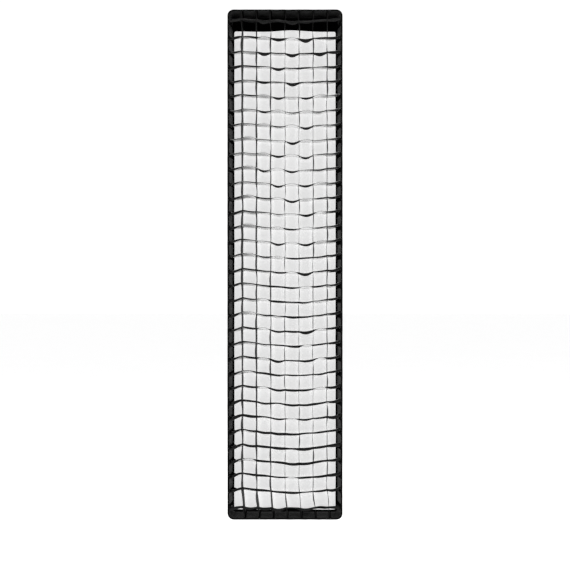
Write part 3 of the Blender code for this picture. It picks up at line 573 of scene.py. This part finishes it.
def end_tab(name, place, side, kind, inset):
    """A strip's end, folded against the band and sewn down; its near-black cloth also paints the
    strip's shade on the band.
    """
    tall = TAB_TALL[kind] * random.uniform(0.8, 1.15)
    if kind == "cross":
        peak = gusset_height(place, side) * random.uniform(0.7, 1.1)
    else:
        peak = 0.0
        place += BOTTOM_DRIFT if side < 0 else 0.0
    points = np.zeros((TAB_ROWS, TAB_COLUMNS, 3))
    for r, depth in enumerate(np.linspace(TAB_FRONT, TAB_BACK, TAB_ROWS)):
        back = r / (TAB_ROWS - 1)
        swell = math.sin(math.pi * back)
        narrow = LIP_INSET + LIP_SLOPE * depth + inset
        spread = tall * (1 - TAB_WAIST * swell)
        reach = peak * (GUSSET_FRONT + (1 - GUSSET_FRONT) * back)
        for c, share in enumerate(np.linspace(-0.5, 0.5, TAB_COLUMNS)):
            rise = TAB_BULGE * swell + TAB_CROWN * math.cos(math.pi * share)
            rise += reach * max(0.0, 1 - GUSSET_TAPER * abs(share)) ** GUSSET_CURVE
            along = place + share * spread
            if kind == "upright":
                points[r, c] = (along, RIM_Y + depth, side * (HALF_HEIGHT - narrow - rise))
            else:
                points[r, c] = (side * (HALF_WIDTH - narrow - rise), RIM_Y + depth, along)
    end = {-1: "low", 1: "high"}[side]
    tab = sheet_mesh(f"{name}_{end}", points, TAB_WALL, [hem_cloth_and_shade], "grid")
    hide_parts("grid_band")
    return tab


# --- grid strips ---------------------------------------------------------------------------

def inner_half(y, low):
    """Half the grid's clear size at a depth, from its low side at the front."""
    return -low - LIP_SLOPE * (y - GRID_LOW[1]) - STRIP_CLEARANCE


def hang(x):
    """Shape of a cross strip between the side walls, 0 where it hangs lowest."""
    u = x / HALF_WIDTH
    if u > DIP_PLACE:
        return RIGHT_RISE * (u - DIP_PLACE) ** 1.7
    wall_dip = WALL_DIP * math.exp(-((u - WALL_DIP_PLACE) / WALL_DIP_WIDTH) ** 2)
    return LEFT_RISE * (DIP_PLACE - u) ** 1.6 - wall_dip


def cell_states(crosses, cells):
    """How each stretch of a cross strip hangs: above 0 it sags and curls, below 0 it arches.

    Sagging and arching stretches mostly come in turn. Both are commoner near the top.
    """
    states = np.zeros((crosses, cells))
    for i in range(crosses):
        height = 1 - i / (crosses - 1)
        for j in range(cells):
            chance = random.random()
            sag_chance = SAG_CHANCE if 1 < j < cells - 2 else SIDE_SAG_CHANCE
            if j in (0, cells - 1):
                states[i, j] = random.uniform(0.2, 0.7)
            elif (i + j) % 2 == 0:
                sags = chance < sag_chance * (1.15 * height - 0.15)
                states[i, j] = random.uniform(0.7, 1.2) if sags else random.uniform(0.0, 0.4)
            else:
                arch_chance = LEAST_ARCH_CHANCE + ARCH_CHANCE * height
                if height > TAUT_HEIGHT:
                    arch_chance = TAUT_ARCH_CHANCE
                arches = chance < arch_chance
                states[i, j] = -0.6 - 0.3 * height if arches else random.uniform(-0.3, 0.2)
    states[-1] = random.uniform(-1.0, 1.0, cells)
    return states


def show_strip(name, points, finish):
    strip = sheet_mesh(name, points, STRIP_WALL, [finish], "grid")
    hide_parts("grid_lattice")


def build_crosses():
    """The cross strips, from the top down. The first is of band cloth, the last of matt cloth."""
    states = cell_states(CROSSES, UPRIGHTS + 1)
    half_front = inner_half(GRID_LOW[1], GRID_LOW[0])
    knots = [-1.0] + [x / half_front for x in places(UPRIGHTS, UPRIGHT_PITCH)] + [1.0]
    columns = [(j, k / CROSS_STEPS) for j in range(UPRIGHTS + 1) for k in range(CROSS_STEPS)]
    columns.append((UPRIGHTS, 1.0))
    for i, z in enumerate(reversed(places(CROSSES, CROSS_PITCH))):
        height = z / HALF_HEIGHT
        taut = max(0.0, 1 - i / TAUT_ROWS)
        swing = SWING + SWING_GAIN * min(1.0, max(0.0, 1.0 - height))
        lean = LEAN - LEAN_GAIN * z
        curls = random.uniform(0.7, 1.4, UPRIGHTS + 2) * (CURL + CURL_GAIN * (0.5 - height / 2))
        curls[[0, -1]] *= WALL_CURL
        curls *= 1 + TAUT_CURL * taut
        twist = random.uniform(-TWIST, TWIST, UPRIGHTS + 1)
        finish = cross_cloth
        if i == 0:
            z += FIRST_LIFT
            finish = band_cloth
        if i == CROSSES - 1:
            z += LAST_LIFT
            swing *= LAST_SWING
            lean += LAST_LEAN
            finish = upright_cloth
        points = np.zeros((len(CROSS_DEPTHS), len(columns), 3))
        for r, t in enumerate(CROSS_DEPTHS):
            y = GRID_LOW[1] + t * GRID_DEPTH
            half = inner_half(y, GRID_LOW[0])
            front = max(0.0, 1 - t / CURL_DEPTH) ** CURL_POWER
            fade = 1 - BACK_FADE * t
            for c, (j, part) in enumerate(columns):
                x = (knots[j] * (1 - part) + knots[j + 1] * part) * half
                state = states[i, j]
                bow = math.sin(math.pi * part)
                base = curls[j] * (1 - part) + curls[j + 1] * part
                more_curl = SAG_CURL + TAUT_SAG_CURL * taut if state > 0 else base
                curl = base + bow * state * more_curl
                arc = state * bow * (SAG if state > 0 else ARCH) * (1 - TAUT_ARC * taut)
                drop = curl * front + arc * fade + lean * t + twist[j] * bow * (0.4 + t)
                points[r, c] = (x, y, z + swing * hang(x) * fade - drop)
        show_strip(f"cross_strip_{i + 1}", points, finish)


def build_uprights():
    """The upright strips, from left to right. The left ones are pulled out most at the front."""
    levels = places(CROSSES, CROSS_PITCH)
    edge = places(UPRIGHTS, UPRIGHT_PITCH)[-1]
    half_front = inner_half(GRID_LOW[1], GRID_LOW[2])
    knots = [-half_front] + levels + [half_front]
    for k, x in enumerate(places(UPRIGHTS, UPRIGHT_PITCH)):
        pull = -EVEN_PULL - LEFT_PULL * max(0.0, -x / edge) ** 0.8
        sway = random.uniform(-1, 1, len(knots))
        puff = random.uniform(-1, 1, len(knots))
        points = np.zeros((len(UPRIGHT_DEPTHS), UPRIGHT_STEPS * (len(knots) - 1) + 1, 3))
        for c in range(points.shape[1]):
            cell = min(c // UPRIGHT_STEPS, len(knots) - 2)
            part = c / UPRIGHT_STEPS - cell
            z = knots[cell] * (1 - part) + knots[cell + 1] * part
            bow = math.sin(math.pi * part)
            way = 1 if (cell + k) % 2 else -1
            front = KNOT_SWAY * (sway[cell] * (1 - part) + sway[cell + 1] * part)
            front += (CELL_WAVE * way + CELL_PUFF * puff[cell]) * bow + pull
            drift = BOTTOM_DRIFT * max(0.0, (levels[1] - z) / (half_front + levels[1]))
            for r, t in enumerate(UPRIGHT_DEPTHS):
                y = GRID_LOW[1] + t * GRID_DEPTH
                squeeze = inner_half(y, GRID_LOW[2]) / half_front
                sideways = drift + front * (1 - t) ** 0.8 + BACK_WAVE * way * bow * t
                points[r, c] = (x + sideways, y, z * squeeze)
        show_strip(f"upright_strip_{k + 1}", points, upright_cloth)


# --- front diffuser and inner baffle -------------------------------------------------------

def flat_cloth(name, node, sag, material, body, corner, columns, rows):
    """A rounded cloth panel that fills a CAD node's box and is a little slack in the middle."""
    low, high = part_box(node)
    half_x, half_z = high[0], high[2]
    y = (low[1] + high[1]) / 2
    points = np.zeros((rows, columns, 3))
    for r, v in enumerate(np.linspace(-1, 1, rows)):
        z = v * half_z
        over = max(0.0, abs(z) - (half_z - corner))
        reach = half_x - corner + math.sqrt(max(corner ** 2 - over ** 2, 0.0))
        for c, u in enumerate(np.linspace(-1, 1, columns)):
            x = u * reach
            free = (1 - u ** 2) * (1 - abs(v) ** 12)
            soft = noise.noise(Vector((x * 9, z * 3.2, 1.7)))
            crease = noise.noise(Vector((x * 30 + z * 8, z * 9, 4.1)))
            points[r, c] = (x, y + free * (sag * (0.6 + soft) + SHEET_CREASE * crease), z)
    return sheet_mesh(name, points, SHEET_WALL, [material], body)


def frame_strip(name, inner, outer, y, material, body, wobble, seed):
    """A flat cloth frame between two outlines; its inner edge wanders a little."""
    shares = np.linspace(0, 1, FRAME_ROWS)
    points = np.array([outer * (1 - share) + inner * share for share in shares])
    points[..., 1] = y
    for index in np.ndindex(points.shape[:2]):
        x, _, z = points[index]
        reach = wobble * shares[index[0]]
        points[index][0] += reach * noise.noise(Vector((seed, z * 9, 0)))
        points[index][2] += reach * 2 * noise.noise(Vector((x * 9, seed, 0)))
    return sheet_mesh(name, points, SHEET_WALL, [material], body, ring=True)


def build_diffuser():
    low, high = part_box("diffuser_hem")
    cloth = flat_cloth("diffuser_panel", "front_diffuser", 0.0015, diffuser_cloth, "diffuser",
                       BASE_CORNER - 0.002, 40, 160)
    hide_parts("front_diffuser")
    outer = outline(high[0], high[2], BASE_CORNER - 0.0015, 0)
    # the border is cut deep at the top, where the near-black hem also paints shade
    inner = outline(high[0] - HEM_SIDE, high[2] - HEM_AND_SHADE_MEAN, HEM_INNER_CORNER, 0)
    inner[:, 2] += HEM_BOTTOM - HEM_AND_SHADE_MEAN
    top = inner[:, 2] > 0
    away = (inner[top, 0] - HEM_RISE_X) / HEM_RISE_WIDTH
    inner[top, 2] += HEM_RISE * np.exp(-away ** 2)
    hem = frame_strip("diffuser_border", inner, outer, (low[1] + high[1]) / 2, hem_cloth_and_shade,
                      "diffuser", wobble=0.0012, seed=5.0)
    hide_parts("diffuser_hem")


def elastic_tab(number):
    """An elastic from the baffle to a side panel, narrower halfway; panels are drawn in there."""
    node = f"baffle_tab_{number}"
    low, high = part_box(node)
    drawn_in = BELLY_SIDE * (1.25 if number % 3 == 2 else 0.85)
    ends = (low[0] + drawn_in, high[0]) if number < 4 else (low[0], high[0] - drawn_in)
    points = np.zeros((ELASTIC_ROWS, ELASTIC_COLUMNS, 3))
    for r, across in enumerate(np.linspace(-0.5, 0.5, ELASTIC_ROWS)):
        for c, share in enumerate(np.linspace(0, 1, ELASTIC_COLUMNS)):
            width = (high[2] - low[2]) * (1 - ELASTIC_WAIST * math.sin(math.pi * share))
            points[r, c] = (ends[0] + (ends[1] - ends[0]) * share, (low[1] + high[1]) / 2,
                            (low[2] + high[2]) / 2 + across * width)
    tab = sheet_mesh(f"elastic_{number}", points, ELASTIC_WALL, [webbing], "softbox")
    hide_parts(node)
    return tab


def build_baffle():
    low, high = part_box("baffle_binding")
    cloth = flat_cloth("baffle_panel", "inner_baffle", 0.003, baffle_cloth, "softbox",
                       BAFFLE_CORNER, 30, 90)
    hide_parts("inner_baffle")
    outer = outline(high[0], high[2], BAFFLE_CORNER, 0)
    inner = outline(high[0] - BAFFLE_EDGE, high[2] - BAFFLE_EDGE, BAFFLE_CORNER - BAFFLE_EDGE, 0)
    edge = frame_strip("baffle_border", inner, outer, (low[1] + high[1]) / 2, webbing,
                       "softbox", wobble=0.0006, seed=8.0)
    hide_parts("baffle_binding")
    elastics = [elastic_tab(number) for number in range(1, 7)]


# --- shell ---------------------------------------------------------------------------------

def corner_curve(share):
    """Outer corner line of the shell in the +X, +Z quarter, from the speedring to the lip."""
    start = Vector((REAR_HALF, REAR_Y, REAR_HALF))
    end = Vector((-SHELL_LOW[0], SHELL_LOW[1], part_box("panel_top")[1][2]))
    first = start + BOW_REACH * REAR_DIRECTION
    second = end - BOW_REACH * FRONT_DIRECTION
    share = float(share)
    rest = 1 - share
    curve = rest ** 3 * start + 3 * rest ** 2 * share * first
    return curve + 3 * rest * share ** 2 * second + share ** 3 * end


def build_panel(name, upright, side, columns, sag):
    """One cloth panel, drawn in a little between the rods and creased where they pull on it."""
    shares = np.linspace(PANEL_MARGIN, 1 - PANEL_MARGIN, PANEL_ROWS)
    points = np.zeros((len(shares), columns, 3))
    for r, share in enumerate(shares):
        place = corner_curve(share)
        slope = corner_curve(min(share + 0.002, 1)) - corner_curve(max(share - 0.002, 0))
        normal = Vector((-slope.y, slope.x, 0)) if upright else Vector((0, slope.z, -slope.y))
        normal = normal.normalized()
        ends = min(1.0, share / REAR_CALM, (1 - share) / FRONT_CALM)
        for c, v in enumerate(np.linspace(-1, 1, columns)):
            free = (1 - abs(v) ** 6) * ends
            belly = (1 - v * v) * 4 * share * (1 - share)
            reach = v * (place.z if upright else place.x)
            radial = noise.noise(Vector((v * 14 * (1.2 - share), share * 2.2, side * 3.0 + 7)))
            fine = noise.noise(Vector((reach * 26, share * 8, side + 2.0)))
            move = -PANEL_WALL / 2 - sag * belly
            move += free * (CREASE * radial * (1.25 - share) + FINE_CREASE * fine)
            flat = (place.x, reach) if upright else (reach, place.z)
            x = flat[0] + normal.x * move
            z = flat[1] + normal.z * move
            points[r, c] = (side * x if upright else x, place.y + normal.y * move,
                            z if upright else side * z)
    if (side < 0) != upright:  # the shell cloth faces outwards, the lining inwards
        points = points[:, ::-1]
    panel = sheet_mesh(f"cloth_{name}", points, SKIN_WALL, [shell_cloth, lining], "softbox")
    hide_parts(f"panel_{name}")
    path = np.array([corner_curve(share) for share in shares])
    path = path[:, :2] if upright else path[:, 1:]


def build_front_seam():
    """Piping sewn into the seam between the lip and the four panels."""
    rows = []
    for bearing in np.linspace(0, 2 * math.pi, PIPING_ROWS):
        rows.append(lip_outline(LIP_DEPTH + PIPING_HALF_DEPTH * math.cos(bearing),
                                PIPING_MIDDLE + PIPING_HALF_WIDTH * math.sin(bearing)))
    points = ripple(np.array(rows), size=0.0003, period=0.03, seed=21.0)
    piping = sheet_mesh("front_piping", points, PIPING_WALL, [webbing], "softbox", ring=True)


def build_shell():
    build_front_seam()
    build_panel("left", True, -1, 150, BELLY_SIDE)
    build_panel("right", True, 1, 150, BELLY_SIDE)
    build_panel("top", False, 1, 48, BELLY_END)
    build_panel("bottom", False, -1, 48, BELLY_END)


def build_collar():
    """Cloth gathered round the speedring, held down by a webbing strap."""
    low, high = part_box("rear_collar")
    strap_low, strap_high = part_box("collar_strap")
    edge = high[0] + COLLAR_OVERLAP
    neck = strap_high[0] - COLLAR_UNDER_STRAP
    height = strap_high[1] + COLLAR_LIP - low[1]
    bearings = [2 * math.pi * step / RING_STEPS for step in range(RING_STEPS)]
    rows = []
    for share in np.linspace(0, 1, COLLAR_ROWS):
        drawn = min(share / NECK_SHARE, 1.0)
        rise = max(0.0, share - NECK_SHARE) / (1 - NECK_SHARE) * height
        row = []
        for bearing in bearings:
            across, up = math.cos(bearing), math.sin(bearing)
            square = abs(across) ** SQUARENESS + abs(up) ** SQUARENESS
            square = edge / square ** (1 / SQUARENESS)
            pleat = math.sin(PLEATS * bearing + 2 * math.sin(3 * bearing)) * share ** 0.5
            radius = square * (1 - drawn) + (neck + NECK_PLEAT * pleat) * drawn
            y = low[1] + COLLAR_STAND + rise + FLAT_PLEAT * pleat * (1 - share)
            row.append((radius * across, y, radius * up))
        rows.append(row)
    collar = sheet_mesh("collar_cloth", rows, COLLAR_WALL, [shell_cloth], "softbox", ring=True)
    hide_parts("rear_collar")
    rows = []
    for share in np.linspace(0, 1, STRAP_ROWS):
        y = strap_low[1] + (strap_high[1] - strap_low[1]) * share
        radius = strap_high[0] + STRAP_CROWN / 2 - STRAP_CROWN * (2 * share - 1) ** 2
        rows.append([(radius * math.cos(bearing), y, radius * math.sin(bearing))
                     for bearing in bearings])
    strap = sheet_mesh("strap", rows, STRAP_WALL, [webbing], "softbox", ring=True)
    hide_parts("collar_strap")


# --- carried nodes -------------------------------------------------------------------------

def dress(material, *nodes):
    for node in nodes:
        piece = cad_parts[node]
        piece.data.materials.clear()
        piece.data.materials.append(material)
        for polygon in piece.data.polygons:
            polygon.material_index = 0


def dress_nodes():
    quarters = [f"{row}_{column}" for row in ("top", "bottom") for column in ("left", "right")]
    dress(cast_alloy, "speedring")
    dress(bright_alloy, "mount_insert")
    dress(zinc, "insert_retainer", "lock_stem", *[f"retainer_screw_{n}" for n in range(1, 5)],
          *[f"rod_ferrule_{q}" for q in quarters])
    dress(plastic, "lock_knob", *[f"rod_cap_{q}" for q in quarters])
    dress(steel, *[f"rod_{q}" for q in quarters])
    dress(cad_webbing, *[f"corner_pocket_{q}" for q in quarters],
          *[f"corner_seam_{q}" for q in quarters])
    dress(tape_pile, "grid_loop_tape", "diffuser_loop_tape", "diffuser_hook_tape")


# --- stage ---------------------------------------------------------------------------------

def soft_light(name, place, aim, size, power):
    """A rectangular area light that faces a point."""
    data = bpy.data.lights.new(name, "AREA")
    data.shape = "RECTANGLE"
    data.size, data.size_y = size
    data.energy = power
    light = bpy.data.objects.new(name, data)
    light.location = place
    light.rotation_euler = (Vector(aim) - Vector(place)).to_track_quat("-Z", "Y").to_euler()
    bpy.context.scene.collection.objects.link(light)


def build_stage():
    scene = bpy.context.scene
    scene.view_settings.view_transform = "Standard"
    world = bpy.data.worlds.new("studio")
    world.use_nodes = True
    sky = world.node_tree.nodes["Background"].inputs
    sky["Color"].default_value = (1, 1, 1, 1)
    sky["Strength"].default_value = SKY_STRENGTH
    scene.world = world

    drop = -HALF_HEIGHT - FLOOR_DROP
    mesh = bpy.data.meshes.new("floor")
    quarters = ((-1, -1), (1, -1), (1, 1), (-1, 1))
    mesh.from_pydata([(FLOOR_HALF * x, FLOOR_HALF * y, drop) for x, y in quarters], [],
                     [(0, 1, 2, 3)])
    floor = bpy.data.objects.new("floor", mesh)
    scene.collection.objects.link(floor)
    paper = Graph("floor_paper", Roughness=0.9, Specular_IOR_Level=0.1)
    spots = paper.noise(paper.add("TexCoord", "Object"), 3.0)
    paper.links.new(paper.mix(spots, grey(0.93), grey(0.95)), paper.shader.inputs["Base Color"])
    mesh.materials.append(paper.material)

    front, lamp = (0, RIM_Y, 0), (0, 0, 0)
    soft_light("left_light", (-2.6, -3.0, 0.4), front, size=(1.2, 2.6), power=60)
    soft_light("right_light", (2.6, -3.0, 0.4), front, size=(1.2, 2.6), power=60)
    soft_light("back_left_light", (-2.4, 1.6, 1.6), lamp, size=(0.8, 1.8), power=80)
    soft_light("back_right_light", (2.6, 0.9, 0.9), lamp, size=(0.7, 2.0), power=55)

    camera = bpy.data.objects.new("camera", bpy.data.cameras.new("camera"))
    camera.location = (0, RIM_Y - CAMERA_DISTANCE, CAMERA_HEIGHT)
    camera.rotation_euler = (math.pi / 2, 0, 0)
    camera.data.lens = CAMERA_LENS
    camera.data.sensor_width = 36
    scene.collection.objects.link(camera)
    scene.camera = camera


dress_nodes()
build_binding()
build_lip()
build_band()
build_crosses()
build_uprights()
build_diffuser()
build_baffle()
build_shell()
build_collar()
build_stage()

bpy.context.view_layer.update()
